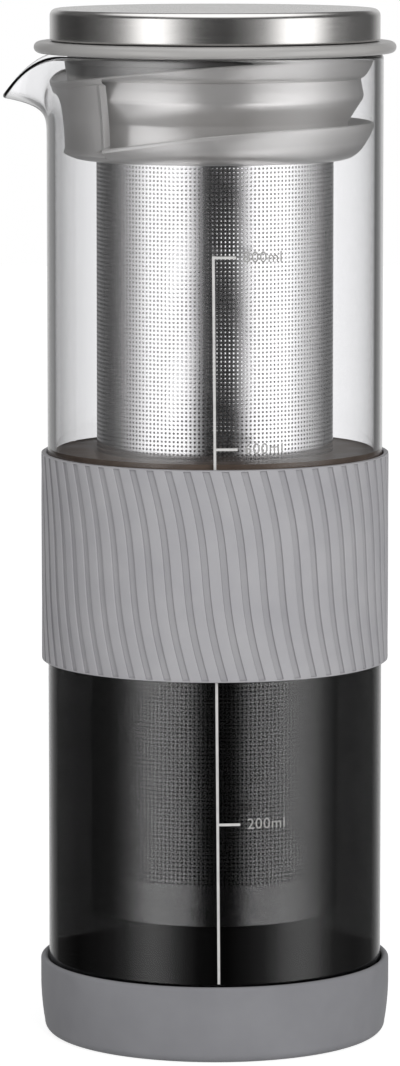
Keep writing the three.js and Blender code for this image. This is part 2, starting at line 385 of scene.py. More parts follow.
def cover(tree, surface, pattern, colours, roughness, inputs):
    """Finishes a material whose colour and roughness run from their first to their second value as
    a pattern rises, and whose other inputs are given."""
    rough = node(tree, "MapRange", inputs={
        "Value": pattern, **SPREAD, "To Min": roughness[0], "To Max": roughness[1]})
    skin = node(tree, "BsdfPrincipled", inputs={
        "Base Color": tint(tree, pattern, *colours), "Roughness": rough, **inputs})
    feed(surface, skin)


def axis_distance(tree):
    """The distance from the axis, in metres."""
    spot = node(tree, "TexCoord").outputs["Object"]
    flat = node(tree, "VectorMath", TIMES, {0: spot, 1: (1, 1, 0)})
    return node(tree, "VectorMath", {"operation": "LENGTH"}, {0: flat}).outputs["Value"]


def passed_on(tree):
    """One for a ray that was mirrored or went through glass, and nought for any other."""
    ray = node(tree, "LightPath").outputs
    return node(tree, "Math", {"operation": "MAXIMUM"}, {
        0: ray["Is Glossy Ray"], 1: ray["Is Transmission Ray"]})


def silicone(name, colours, roughness):
    """Moulded silicone: a soft matte skin with a fine eggshell grain from the mould and a faint
    bloom of dust that lifts its edges."""
    made, tree, surface = material(name)
    spot = node(tree, "TexCoord").outputs["Object"]
    # Clouding of 14 mm, as pigment settles in a thick moulding
    cloud = node(tree, "TexNoise", inputs={**NOISE, "Vector": spot, "Scale": 1 / (14 * MM)})
    # Mould grain of 0.25 mm
    grain = node(tree, "TexNoise", inputs={**NOISE, "Vector": spot, "Scale": 1 / (0.25 * MM), "Detail": 2})
    bump = node(tree, "Bump", inputs={"Strength": 0.25, "Distance": 0.05 * MM, "Height": grain})
    cover(tree, surface, cloud, colours, roughness, {
        "IOR": 1.42, "Sheen Weight": 0.08, "Sheen Roughness": 0.5, "Normal": bump})
    return made


def ribbed_silicone(made):
    """Paints shade into the grip's grooves, darkest on their walls, and a painted highlight along their
    edges.
    """
    tree = made.node_tree
    skin = tree.nodes["Principled BSDF"]
    share = node(tree, "MapRange", inputs={
        "Value": axis_distance(tree), "From Min": (SLEEVE_RADIUS - GROOVE_DEPTH) * MM,
        "From Max": SLEEVE_RADIUS * MM})
    # Shares of the groove's depth from its floor, and the level of each: below one is painted shade, above
    # one a painted highlight
    shade = node(tree, "ValToRGB", inputs={"Fac": share}, stops=[
        (0, 0.88), (0.16, 0.85), (0.4, 0.68), (0.72, 0.84), (0.93, 1.12), (1, 1)])
    before = skin.inputs["Base Color"].links[0].from_socket
    both = node(tree, "Mix", {"data_type": "RGBA", "blend_type": "MULTIPLY"}, {
        0: 1, 6: before, 7: shade}).outputs[2]
    feed(skin.inputs["Base Color"], both)
    return made


def satin_barrel(made):
    """Gives the stopper its shine: most on the barrel between the fins, which was moulded on
    polished steel, less on the fins, and little on the flange, which hands have dulled. Its colour
    is a little darker out on the fins, and painted shade darkens it further on the flange and most
    in the neck under the flange."""
    tree = made.node_tree
    skin = tree.nodes["Principled BSDF"]
    feed(skin.inputs["Specular IOR Level"], 0.9)
    out = axis_distance(tree)
    height = node(tree, "SeparateXYZ", inputs={0: node(tree, "TexCoord").outputs["Object"]}).outputs["Z"]
    # Fades of the mirror, of the colour with its painted shade on the fins and flange, and of the
    # painted shade in the neck, two of each: where each fade starts and ends in millimetres, and its value
    # before and after
    fades = [node(tree, "MapRange", EASED, {
        "Value": value, "From Min": first * MM, "From Max": last * MM,
        "To Min": low, "To Max": high}) for value, first, last, low, high in (
            (out, 35.5, 36.3, 0.54, 0.24), (out, 38.2, 38.8, 1, 0.2),
            (out, 35.8, 36.6, 1, 0.9), (out, 38.2, 38.8, 1, 0.7),
            (out, 35.1, 35.6, 0.62, 0), (height, 229.6, 231, 0, 1))]
    polish, light, shade = [
        node(tree, "Math", TIMES, {0: a, 1: b}) for a, b in zip(fades[::2], fades[1::2])]
    feed(skin.inputs["Metallic"], polish)
    left = node(tree, "Math", {"operation": "SUBTRACT"}, {0: light, 1: shade})
    # Painted shade scales the colour down: a little on the fins, more on the flange, most in the neck
    before = skin.inputs["Base Color"].links[0].from_socket
    painted_shade_colour = node(tree, "VectorMath", SCALED, {0: before, "Scale": left})
    feed(skin.inputs["Base Color"], painted_shade_colour)
    return made


def polypropylene(name, colours):
    """Moulded polypropylene: waxy, evenly coloured, with a faint flow pattern."""
    made, tree, surface = material(name)
    spot = node(tree, "TexCoord").outputs["Object"]
    # Flow marks of 9 mm
    flow = node(tree, "TexNoise", inputs={**NOISE, "Vector": spot, "Scale": 1 / (9 * MM)})
    cover(tree, surface, flow, colours, (0.38, 0.46), {"IOR": 1.49})
    return made


def steel(name, colours, roughness, line, depth):
    """Stainless steel brushed round the axis: fine rings, as wide as the line in millimetres, that
    streak its reflections."""
    made, tree, surface = material(name)
    spot = node(tree, "TexCoord").outputs["Object"]
    # Rings read the distance from the axis and the height, and break up slowly round the piece
    flat = node(tree, "VectorMath", TIMES, {0: spot, 1: (1, 1, 0)})
    height = node(tree, "SeparateXYZ", inputs={0: spot}).outputs["Z"]
    ring = node(tree, "CombineXYZ", inputs={"X": axis_distance(tree), "Z": height})
    # A scratch runs on for about 60 times its width
    drift = node(tree, "VectorMath", SCALED, {0: flat, "Scale": 1 / 60})
    both = node(tree, "VectorMath", inputs={0: ring, 1: drift})
    brush = node(tree, "TexNoise", inputs={**NOISE, "Vector": both, "Scale": 1 / (line * MM), "Detail": 4})
    # Handling marks and clouding of 11 mm
    cloud = node(tree, "TexNoise", inputs={**NOISE, "Vector": spot, "Scale": 1 / (11 * MM)})
    bump = node(tree, "Bump", inputs={"Strength": depth, "Distance": 0.02 * MM, "Height": brush})
    lines = node(tree, "Math", TIMES, {0: brush, 1: 0.6})
    blend = node(tree, "Math", {"operation": "MULTIPLY_ADD"}, {0: cloud, 1: 0.4, 2: lines})
    cover(tree, surface, blend, colours, roughness, {"Metallic": 1, "Normal": bump})
    return made


def clear(name, ior, colour, shines=True):
    """A clear solid or liquid, which lamps shine through."""
    made, tree, surface = material(name)
    if shines:
        body = node(tree, "BsdfPrincipled", inputs={
            "Base Color": linear(colour), "Roughness": 0, "IOR": ior, "Transmission Weight": 1})
    else:
        body = node(tree, "BsdfRefraction", inputs={"Color": linear(colour), "Roughness": 0, "IOR": ior})
    lamps = node(tree, "BsdfTransparent")
    ray = node(tree, "LightPath")
    either = node(tree, "MixShader", inputs={0: ray.outputs["Is Shadow Ray"], 1: body, 2: lamps})
    feed(surface, either)
    return made


def brewed_coffee(name, density):
    """Coffee: black in depth, and a dark grey where steel stands a finger behind the glass. The
    glass shows its edge, so its own skin doesn't bend light."""
    made = clear(name, 1, "#FFFFFF")
    tree = made.node_tree
    depth = node(tree, "VolumeAbsorption", inputs={"Color": linear("#848483"), "Density": density})
    feed(tree.nodes["Material Output"].inputs["Volume"], depth)
    return made


def coffee_film():
    """The top of the coffee: a thin brown film of oils and fine bubbles."""
    made, tree, surface = material("coffee_film")
    spot = node(tree, "TexCoord").outputs["Object"]
    # Bubbles of about 0.9 mm in drifts of 8 mm
    drifts = node(tree, "TexNoise", inputs={**NOISE, "Vector": spot, "Scale": 1 / (8 * MM)})
    foam = node(tree, "TexVoronoi", inputs={"Vector": spot, "Scale": 1 / (0.9 * MM)})
    bump = node(tree, "Bump", inputs={"Strength": 0.3, "Distance": 0.1 * MM, "Height": foam})
    cover(tree, surface, drifts, ("#53473F", "#6E6056"), (0.35, 0.5), {"IOR": 1.33, "Normal": bump})
    return made


def enamel():
    """Fired white enamel print: opaque, slightly uneven in its ink."""
    made, tree, surface = material("fired_enamel_print")
    spot = node(tree, "TexCoord").outputs["Object"]
    # Ink that lies unevenly over 1.5 mm
    ink = node(tree, "TexNoise", inputs={**NOISE, "Vector": spot, "Scale": 1 / (1.5 * MM)})
    # The figures, to the right of the ticks, took less ink than the line
    across = node(tree, "SeparateXYZ", inputs={0: spot}).outputs["X"]
    figures = node(tree, "Math", {"operation": "GREATER_THAN"}, {0: across, 1: FIGURES_FROM * MM})
    colour = node(tree, "Mix", COLOURED, {
        0: figures, 6: tint(tree, ink, "#C6C5C4", "#D6D5D3"),
        7: tint(tree, ink, "#9C9B9A", "#ACABA9")}).outputs[2]
    skin = node(tree, "BsdfPrincipled", inputs={"Base Color": colour, "Roughness": 0.45, "IOR": 1.5})
    feed(surface, skin)
    return made


# Borosilicate glass: colourless, with a trace of grey-blue that gathers along its edges
glass_finish = clear("borosilicate_glass", 1.47, "#FEFEFF")
# Where coffee wets the glass, its inner face stops shining and bends light little
wetted_finish = clear("wetted_borosilicate_glass", 1.4, "#FEFEFF", shines=False)
coffee_finish = brewed_coffee("brewed_coffee", 94)
# The last of it against the wall, which the eye meets edge on at the sides of the carafe
edge_finish = brewed_coffee("brewed_coffee_at_wall", 380)
film_finish = coffee_film()
grip_finish = ribbed_silicone(silicone("matte_silicone_grip", ("#A6A5A9", "#AFAEB1"), (0.605, 0.635)))
boot_finish = silicone("matte_silicone_boot", ("#848488", "#8D8D91"), (0.585, 0.615))
stopper_finish = satin_barrel(
    silicone("satin_silicone_stopper", ("#D5D3D1", "#D9D7D5"), (0.275, 0.305)))
seal_finish = silicone("soft_silicone_seal", ("#B1B0AE", "#BAB9B7"), (0.485, 0.515))
core_finish = polypropylene("moulded_polypropylene_core", ("#A3A29F", "#ABAAA8"))
insert_finish = polypropylene("moulded_polypropylene_insert", ("#9A9998", "#A3A2A1"))
filter_finish = steel("perforated_stainless_sheet", ("#E1E0E0", "#EAE9E9"), (0.14, 0.18), 0.12, 0.05)
cap_finish = steel("brushed_stainless_cap", ("#DEDCDA", "#ECEAE8"), (0.17, 0.24), 0.1, 0.2)
print_finish = enamel()


def dress(piece, body, finish, nodes=()):
    """Gives a piece its finish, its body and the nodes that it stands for."""
    piece.data.materials.clear()
    piece.data.materials.append(finish)
    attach(piece, body)
    if nodes:
        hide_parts(*nodes)
    return piece


# Glass carafe

def bell(angle, half_width, power):
    """One at the spout, and nought beyond a bell's half width."""
    turn = math.atan2(math.sin(angle), math.cos(angle))
    if abs(turn) >= half_width:
        return 0
    return math.cos(turn / half_width * math.pi / 2) ** power


def spout_wall(angle, share):
    """Outer face of the glass from the spout's root (share 0) to its edge (share 1)."""
    top = RIM_LEVEL - GLASS_WALL / 2
    edge = top - SPOUT_DROP * bell(angle, SPOUT_HALF_ANGLE, SPOUT_DROP_POWER)
    root = top - SPOUT_DEPTH
    reach = SPOUT_REACH * bell(angle, SPOUT_HALF_ANGLE, SPOUT_REACH_POWER)
    return place(GLASS_RADIUS + reach * share ** SPOUT_FLARE_POWER, angle, root + (edge - root) * share)


def spout_thickness(angle, share):
    """The wall thins a little where the lip was pulled."""
    thinning = SPOUT_THINNING * bell(angle, SPOUT_HALF_ANGLE, 1) * share ** SPOUT_THIN_POWER
    return GLASS_WALL * (1 - thinning)


def spout_frame(angle, share):
    """Outward normal and upward tangent of that face."""
    small = 0.001
    across = spout_wall(angle + small, share) - spout_wall(angle - small, share)
    along = (spout_wall(angle, share + small) - spout_wall(angle, share - small)).normalized()
    return across.cross(along).normalized(), along


def make_glass():
    corner = GLASS_RADIUS - FOOT_ROUND
    inner_round = FOOT_ROUND - GLASS_WALL
    hollow = FOOT_LEVEL + FOOT_HOLLOW
    outer_foot = [(0, hollow), (corner - FOOT_ROUND / 2, hollow)]
    outer_foot += bend(outer_foot[-1], (corner - FOOT_ROUND / 3, FOOT_LEVEL), (corner, FOOT_LEVEL), 5)
    outer_foot += arc(corner, FOOT_LEVEL + FOOT_ROUND, FOOT_ROUND, -90, 0, 12)[1:]
    inner_foot = [(GLASS_BORE, COFFEE_LEVEL + MENISCUS / 2)]
    inner_foot += arc(corner, FLOOR_LEVEL + inner_round, inner_round, 0, -90, 12)
    inner_foot += [(corner * s, FLOOR_LEVEL + PUNT_RISE * (1 - s * s)) for s in (0.8, 0.6, 0.4, 0.2, 0)]
    # Rows close up towards the edge, and columns stand closer at the spout
    rows, wide, narrow, lip_steps = 26, 100, 140, 10
    wall = [math.sin(s * math.pi / 2) ** 0.8 for s in even(0, 1, rows)]
    angles = even(-SPOUT_HALF_ANGLE, SPOUT_HALF_ANGLE, wide)
    angles += even(SPOUT_HALF_ANGLE, math.tau - SPOUT_HALF_ANGLE, narrow)[1:-1]
    columns = []
    for angle in angles:
        frames = [spout_frame(angle, share) for share in wall]
        outer = [spout_wall(angle, share) for share in wall]
        inner = [point - normal * spout_thickness(angle, share)
                 for point, (normal, _), share in zip(outer, frames, wall)]
        middle = (outer[-1] + inner[-1]) / 2
        normal, along = frames[-1]
        half = spout_thickness(angle, 1) / 2
        lip = [middle + normal * half * math.cos(t) + along * half * math.sin(t)
               for t in even(0, math.pi, lip_steps)[1:-1]]
        columns.append([place(r, angle, z) for r, z in outer_foot] + outer + lip + inner[::-1]
                       + [place(r, angle, z) for r, z in inner_foot])
    return lofted("carafe_glass", columns)


carafe_glass = dress(make_glass(), "carafe", glass_finish, ["glass_carafe"])
carafe_glass.data.materials.append(wetted_finish)
for face in carafe_glass.data.polygons:
    x, y, z = face.center / MM
    inward = face.normal.x * x + face.normal.y * y < 0 or face.normal.z > 0.5
    if inward and math.hypot(x, y) < GLASS_BORE + NEAR and WETTED_FROM < z < COFFEE_LEVEL:
        face.material_index = 1


# Coffee, which reaches a little into the wall so that light passes straight from one to the other

def coffee_outline(radius, corner_round, floor, top):
    """Outline of the coffee from the middle of its floor to the top of its side."""
    corner = radius - corner_round
    points = [(corner * s, floor + PUNT_RISE * (1 - s * s)) for s in even(0, 1, 6)]
    return points + arc(corner, floor + corner_round, corner_round, -90, 0, 10)[1:] + [(radius, top)]


def make_coffee():
    inner_round = FOOT_ROUND - GLASS_WALL
    radius = GLASS_BORE - COFFEE_EDGE
    core = coffee_outline(radius, inner_round, FLOOR_LEVEL + COFFEE_EDGE, COFFEE_LEVEL)
    core += [(radius * s, COFFEE_LEVEL) for s in (0.7, 0.4, 0)]
    outer = GLASS_BORE + COFFEE_SINK
    skin = coffee_outline(outer, inner_round + COFFEE_SINK, FLOOR_LEVEL - COFFEE_SINK, FILM_FROM)
    skin += [(outer, COFFEE_LEVEL + MENISCUS)]
    radius += COFFEE_JOIN
    skin += bend(skin[-1], (outer - MENISCUS_REACH, COFFEE_LEVEL), (radius, COFFEE_LEVEL), 6)
    inner = coffee_outline(radius, inner_round, FLOOR_LEVEL + COFFEE_EDGE - COFFEE_JOIN, COFFEE_LEVEL)
    return turned("coffee", core), turned("coffee_at_wall", skin + inner[::-1][1:])


for part, finish in zip(make_coffee(), (coffee_finish, edge_finish)):
    dress(part, "carafe", finish)
    part.data.materials.append(film_finish)
    for face in part.data.polygons:
        x, y, z = face.center / MM
        # The film covers the top, and clings to the glass at the edge, where the sleeve's rim ends
        top = z > COFFEE_LEVEL - NEAR and face.normal.z > 0.3
        if top or z > FILM_FROM and math.hypot(x, y) > GLASS_BORE:
            face.material_index = 1


# Boot

def make_boot():
    corner = GLASS_RADIUS - FOOT_ROUND
    seat_round = FOOT_ROUND + GAP
    foot = BOOT_RADIUS - BOOT_TAPER - BOOT_EDGE
    profile = [(0, 0), (foot, 0)]
    profile += arc(foot, BOOT_EDGE, BOOT_EDGE, -90, 0, 10)[1:]
    profile += bend(profile[-1], (BOOT_RADIUS - 0.1, TAPER_BEND), (BOOT_RADIUS, TAPER_END), 6)
    profile += arc(BOOT_RADIUS - BOOT_LIP, BOOT_HEIGHT - BOOT_LIP, BOOT_LIP, 0, 180, 10)
    profile += arc(corner, BOOT_FLOOR + seat_round, seat_round, 0, -90, 12)
    profile += [(0, BOOT_FLOOR)]
    return turned("boot", profile)


dress(make_boot(), "carafe", boot_finish, ["base_boot"])


# Grip sleeve, with flat-floored grooves that slant most near its rims

def make_sleeve():
    # Depth of the groove at shares of the way across one rib and its groove
    across = [(0, 1), (0.135, 1), (0.155, 0.9), (0.2, 0.12), (0.23, 0), (0.28, -0.02), (0.4, -0.06),
              (0.5, -0.08), (0.6, -0.06), (0.72, -0.02), (0.77, 0), (0.8, 0.12), (0.845, 0.9), (0.865, 1)]
    low = [0.12, SLEEVE_LIP, SLEEVE_LIP + SLEEVE_EDGE]
    levels = low + even(2, SLEEVE_HEIGHT - 2, 24) + [SLEEVE_HEIGHT - z for z in low[::-1]]
    # Radius, height above the sleeve's bottom, and whether the grooves cut the row
    inner, outer = SHELL_BORE + SLEEVE_EDGE, SLEEVE_RADIUS - SLEEVE_EDGE
    rows = [(inner, 0, 0), (outer, 0, 0)]
    rows += [(SLEEVE_RADIUS, z, SLEEVE_LIP < z < SLEEVE_HEIGHT - SLEEVE_LIP) for z in levels]
    rows += [(outer, SLEEVE_HEIGHT, 0), (inner, SLEEVE_HEIGHT, 0)]
    rows += [(SHELL_BORE, z, 0) for z in even(SLEEVE_HEIGHT - SLEEVE_EDGE, SLEEVE_EDGE, 10)]
    rows.append(rows[0])
    columns = []
    for rib in range(GROOVE_COUNT):
        for share, depth in across:
            points = []
            for radius, height, cut in rows:
                rise = height / SLEEVE_HEIGHT
                curl = GROOVE_CURL * math.sin(math.tau * rise) / math.tau
                angle = (rib + share) / GROOVE_COUNT * math.tau - GROOVE_TWIST * (rise + curl)
                points.append(place(radius - GROOVE_DEPTH * depth * cut, angle, SLEEVE_BOTTOM + height))
            columns.append(points)
    return lofted("grip_sleeve_ribbed", columns)


dress(make_sleeve(), "carafe", grip_finish, ["grip_sleeve"])


# Volume scale, printed on the glass

def lean(height):
    """Turn of the scale's line from the front: it was printed a little askew."""
    return SCALE_LEAN - SCALE_TURN * (height - SCALE_BOTTOM) / (SCALE_TOP - SCALE_BOTTOM)


def wrap(piece, angle, height):
    """Lays a flat print, drawn in millimetres, on the glass at an angle and a height."""
    for vertex in piece.data.vertices:
        x, y, z = vertex.co
        turn = FRONT + angle + x / GLASS_RADIUS
        vertex.co = place(GLASS_RADIUS + PRINT_LIFT + z, turn, height + y) * MM
    edit(lambda: bpy.ops.mesh.normals_make_consistent(inside=False))
    return piece


def thicken(piece):
    """Gives a flat print the depth of its ink."""
    return modify(piece, "SOLIDIFY", thickness=PRINT_DEPTH, offset=0)


def make_strip(name, wide, high, columns, rows):
    """A flat strip round the origin."""
    strip = add(name, bpy.ops.mesh.primitive_grid_add, x_subdivisions=columns, y_subdivisions=rows, size=1)
    for vertex in strip.data.vertices:
        vertex.co.x *= wide
        vertex.co.y *= high
    return thicken(strip)


def make_figures(words):
    """A mark's figures, with their left edge at the origin."""
    figures = add("scale_figures", bpy.ops.object.text_add)
    figures.data.body = words
    figures.data.size = FIGURE_HEIGHT
    figures.data.align_y = "CENTER"
    figures.data.space_character = 1.08
    figures.data.resolution_u = 6
    figures.data.offset = 0.002
    bpy.ops.object.convert(target="MESH")
    return thicken(bpy.context.object)


def make_scale():
    middle = (SCALE_BOTTOM + SCALE_TOP) / 2
    line = make_strip("scale_line", LINE_WIDTH, SCALE_TOP - SCALE_BOTTOM, 1, 60)
    for vertex in line.data.vertices:
        vertex.co.x += lean(vertex.co.y + middle) * GLASS_RADIUS
    parts = [wrap(line, 0, middle)]
    for height, words in SCALE_MARKS.items():
        tick = make_strip("scale_tick", TICK_LENGTH, LINE_WIDTH, 8, 1)
        parts.append(wrap(tick, lean(height) + TICK_LENGTH / 2 / GLASS_RADIUS, height))
        parts.append(wrap(make_figures(words), lean(height) + FIGURE_START / GLASS_RADIUS, height))

    def join():
        for part in parts:
            part.select_set(True)
        bpy.context.view_layer.objects.active = parts[0]
        bpy.ops.object.join()
    return add("volume_scale", join)


dress(make_scale(), "carafe", print_finish)


# Silicone stopper: a flange, two slanting fins and a pour panel

def at_drop(share):
    """The height at a share of the way down from the flange to the stopper's bottom."""
    return FLANGE_LEVEL - (FLANGE_LEVEL - COLLAR_BOTTOM) * share


def at_width(share):
    """The radius at a share of the way out from the core's seat to the edges of the fins."""
    return CORE_SEAT + (FIN_RADIUS - CORE_SEAT) * share


def panel_face(border, foot, top, panel_radius):
    """The panel's face, with its raised rim: border is the rim's share there, or how deep the
    panel's own edge stands, as a negative share."""
    # Rows stand closer at the foot and at the top
    shares = [0.012, 0.03, 0.05, 0.075, 0.1, 0.14, 0.18] + even(0.24, 0.78, 9)
    shares += [0.83, 0.87, 0.9, 0.925, 0.945, 0.965, 0.985]
    points = []
    for share in shares:
        height = foot + (top - foot) * share
        rise = border if border < 0 else max(border, 1 - smooth(*FOOT_FADE, height - foot))
        points.append((panel_radius(height) + PANEL_RIM * rise, height))
    return points


def barrel_face(lower):
    """The lower fin's edge, the waist over it, the ridge and the foot of the barrel."""
    half_edge = FIN_EDGE / 2
    drop = lower - COLLAR_BOTTOM
    waist = at_width(WAIST)
    root = (waist + half_edge, lower - drop * 0.36)
    low_waist = (waist, root[1] + 0.7)
    top = at_drop(WAIST_DROP)
    points = arc(FIN_RADIUS - half_edge, lower + half_edge, half_edge, -20, 110, 5)
    points += bend(points[-1], ((waist + FIN_RADIUS) / 2, lower - drop * 0.33), root, 8)
    points += bend(root, (waist, root[1]), low_waist, 2)
    points += bend(low_waist, (waist, (low_waist[1] + top) / 2), (waist, top), 2)
    # Out from the waist to under the ridge, round it, and in to the barrel over it
    points += [(at_width(0.2), at_drop(0.62)), (at_width(0.6), at_drop(0.44))]
    ridge, over_ridge = (at_width(RIDGE), at_drop(RIDGE_DROP)), (at_width(0.655), at_drop(0.385))
    points += bend(points[-1], ridge, over_ridge, 3)
    return points + [(at_width(0.6), at_drop(0.3))]


def stopper_column(angle, on_panel, border):
    """Profile of the stopper at one angle, from the bottom of its bore, over its outside, back to
    its start."""
    near = (1 + math.cos(angle)) / 2
    lower = at_drop(LOWER_FIN_DROP + LOWER_FIN_FALL * near ** LOWER_FALL_POWER)
    upper = at_drop(UPPER_FIN_DROP + UPPER_FIN_FALL * near ** UPPER_FALL_POWER)
    foot = at_drop(PANEL_FOOT_DROP)
    panel_top = upper - FIN_ROOT

    def panel_radius(height):
        share = (height - foot) / (panel_top - foot)
        return at_width(PANEL_FOOT + (PANEL_TOP - PANEL_FOOT) * share ** 2)

    fin_base = min(at_drop(BARREL_DROP), panel_top)
    tip_radius, tip = (panel_radius(foot), foot) if on_panel else (FIN_RADIUS, lower)
    points = [(COLLAR_BORE, COLLAR_BOTTOM + 0.3), (COLLAR_BORE + 0.3, COLLAR_BOTTOM)]
    points += [(COLLAR_BORE + (tip_radius - COLLAR_BORE) * s, COLLAR_BOTTOM + (tip - COLLAR_BOTTOM) * s ** 3)
               for s in even(0.1, 1, 18)]
    if on_panel:
        points += panel_face(border, foot, panel_top, panel_radius)
        base = panel_radius(panel_top)
    else:
        points += barrel_face(lower)
        base = at_width(BARREL)
    # Every column has as many points, so the shorter ones close up on the root of the upper fin
    while len(points) < FIN_ROW:
        points.append(((points[-1][0] + base) / 2, (points[-1][1] + fin_base) / 2))
    points += [(base + (FIN_RADIUS - base) * s, fin_base + (upper - fin_base) * s ** 1.8)
               for s in even(0, 1, 10)]
    half_edge = FIN_EDGE / 2
    points += arc(FIN_RADIUS - half_edge, upper, half_edge, 10, 150, 6)
    neck = at_width(NECK)
    trough = fin_base + FIN_ROOT + (upper - fin_base - FIN_ROOT) / 5
    points += bend(points[-1], ((neck + FIN_RADIUS) / 2, trough + 0.1), (neck + 0.6, trough), 6)
    points += bend(points[-1], (neck, trough), (neck, trough + 0.7), 3)
    # A step under the flange, where the fin leaves it room
    bead = 0.8 * smooth(0, 1.5, FLANGE_LEVEL - trough - 3)
    bead_level = max(FLANGE_LEVEL - 2.3, trough + 0.8)
    points += [(neck, bead_level - 0.1), (neck + bead, bead_level), (neck + bead, FLANGE_LEVEL - 0.5)]
    points += bend(points[-1], (neck + bead, FLANGE_LEVEL), (neck + bead + 0.6, FLANGE_LEVEL), 3)
    half = FLANGE_THICKNESS / 2
    points += arc(FLANGE_RADIUS - half, FLANGE_LEVEL + half, half, -90, 90, 14)
    return points + [
        (RECESS_RADIUS + RECESS_EDGE, FLANGE_TOP), (RECESS_RADIUS, FLANGE_TOP - RECESS_EDGE),
        (RECESS_RADIUS, RECESS_LEVEL), (CORE_SEAT, RECESS_LEVEL), (CORE_SEAT, LEDGE_LEVEL),
        (COLLAR_BORE, LEDGE_LEVEL), points[0]]


def make_stopper():
    edge = PANEL_HALF_ANGLE - PANEL_EDGE_ANGLE
    beside = [PANEL_EDGE_STEP * i for i in range(4)]
    inside = edge - 4 * PANEL_EDGE_STEP
    angles = [a - edge for a in beside] + even(-inside, inside, 40) + [edge - a for a in beside[::-1]]
    inner = [(a, True, 1 - smooth(*SIDE_FADE, edge - abs(a))) for a in angles]
    # The edge's own side, a millimetre deep, which faces round to the front
    inner = [(-PANEL_HALF_ANGLE, True, PANEL_SIDE)] + inner + [(PANEL_HALF_ANGLE, True, PANEL_SIDE)]
    first = PANEL_HALF_ANGLE + PANEL_EDGE_STEP / 2
    outer = [(a, False, 0) for a in even(first, math.tau - first, 200)]
    columns = []
    for angle, on_panel, border in inner + outer:
        turn = math.atan2(math.sin(angle), math.cos(angle))
        tuck = 0 if on_panel else TUCK * (1 - smooth(0, TUCK, abs(turn) - first))
        points = []
        for index, (r, z) in enumerate(stopper_column(angle, on_panel, border)):
            # Only the barrel's face tucks in, clear of the core's seat, the fins' edges and the flange
            deep = index > TUCK_ROW and CORE_SEAT + 0.5 < r < FIN_RADIUS and z < FLANGE_LEVEL - 5
            under = smooth(0, 1, (FIN_RADIUS - r) / 4) if deep else 0
            points.append(place(r, turn - math.copysign(tuck * under, turn), z))
        columns.append(points)
    return lofted("stopper", columns)


dress(make_stopper(), "collar", stopper_finish, ["stopper_collar"])

core_bottom = LEDGE_LEVEL + GAP
core = turned("stopper_core", [
    (CORE_BORE, core_bottom + CORE_EDGE), (CORE_BORE + CORE_EDGE, core_bottom),
    (CORE_RADIUS - CORE_EDGE, core_bottom), (CORE_RADIUS, core_bottom + CORE_EDGE),
    (CORE_RADIUS, RECESS_LEVEL - CORE_TOP_EDGE), (CORE_RADIUS - CORE_TOP_EDGE, RECESS_LEVEL),
    (CORE_BORE + CORE_TOP_EDGE, RECESS_LEVEL), (CORE_BORE, RECESS_LEVEL - CORE_TOP_EDGE),
    (CORE_BORE, core_bottom + CORE_EDGE)])
dress(core, "collar", core_finish, ["collar_core"])


# Filter: a rolled sheet with square holes, plain at both ends, a pressed rim and a dished foot

def make_band(name, level):
    """One band of holes: a ring of web and a ring with every second face left out, repeated up."""
    web = HOLE_PITCH - HOLE_HEIGHT
    band = add(name, bpy.ops.mesh.primitive_circle_add, vertices=2 * HOLES_ROUND,
               radius=FILTER_RADIUS * MM, location=(0, 0, level * MM))
    bpy.ops.object.transform_apply()

    def extrude():
        for rise in (web, HOLE_HEIGHT):
            bpy.ops.mesh.extrude_edges_move(TRANSFORM_OT_translate={"value": (0, 0, rise * MM)})
        bpy.ops.mesh.select_mode(type="FACE")
        bpy.ops.mesh.select_all(action="DESELECT")
    edit(extrude)
    for face in band.data.polygons:
        turn = math.atan2(face.center.y, face.center.x) / math.tau * HOLES_ROUND * 2
        face.select = face.center.z > (level + web) * MM and round(turn - 0.5) % 2 == 0
    bpy.ops.object.mode_set(mode="EDIT")
    bpy.ops.mesh.delete(type="ONLY_FACE")
    bpy.ops.mesh.select_mode(type="VERT")
    bpy.ops.object.mode_set(mode="OBJECT")
    modify(band, "ARRAY", count=BAND_ROWS, use_relative_offset=False, use_constant_offset=True,
           constant_offset_displace=(0, 0, HOLE_PITCH * MM), use_merge_vertices=True,
           merge_threshold=10 * WELD * MM)
    edit(lambda: bpy.ops.mesh.normals_make_consistent(inside=False))
    modify(band, "SOLIDIFY", thickness=SHEET * MM, offset=-1)
    bpy.ops.object.shade_smooth_by_angle(angle=SMOOTH_ANGLE)
    return band


for index in range(HOLE_BANDS):
    band = make_band(f"filter_holes_{index + 1}", HOLES_START + index * BAND_ROWS * HOLE_PITCH)
    dress(band, "filter", filter_finish, ["filter_tube"])

bore = FILTER_RADIUS - SHEET
holes_end = HOLES_START + HOLE_BANDS * BAND_ROWS * HOLE_PITCH
plain_foot = turned("filter_foot_band", [
    (bore, FILTER_FOOT), (bore + 0.1, FILTER_FOOT), (FILTER_RADIUS - 0.1, FILTER_FOOT),
    (FILTER_RADIUS, FILTER_FOOT + 0.1), (FILTER_RADIUS, HOLES_START), (bore, HOLES_START),
    (bore, FILTER_FOOT)])
plain_top = turned("filter_top_band", [
    (bore, holes_end), (FILTER_RADIUS, holes_end), (FILTER_RADIUS, RECESS_LEVEL), (bore, RECESS_LEVEL),
    (bore, holes_end)])

inner_radius = bore - GAP
dish_corner, dish_centre = inner_radius - DISH_BEND, FILTER_FOOT + DISH_BEND
dish = turned("filter_foot_dish", [(0, FILTER_FOOT)]
              + arc(dish_corner, dish_centre, DISH_BEND, -90, 0, 8)
              + [(inner_radius, FILTER_FOOT + DISH_RISE), (inner_radius - SHEET, FILTER_FOOT + DISH_RISE)]
              + arc(dish_corner, dish_centre, DISH_BEND - SHEET, 0, -90, 8)
              + [(0, FILTER_FOOT + SHEET)])

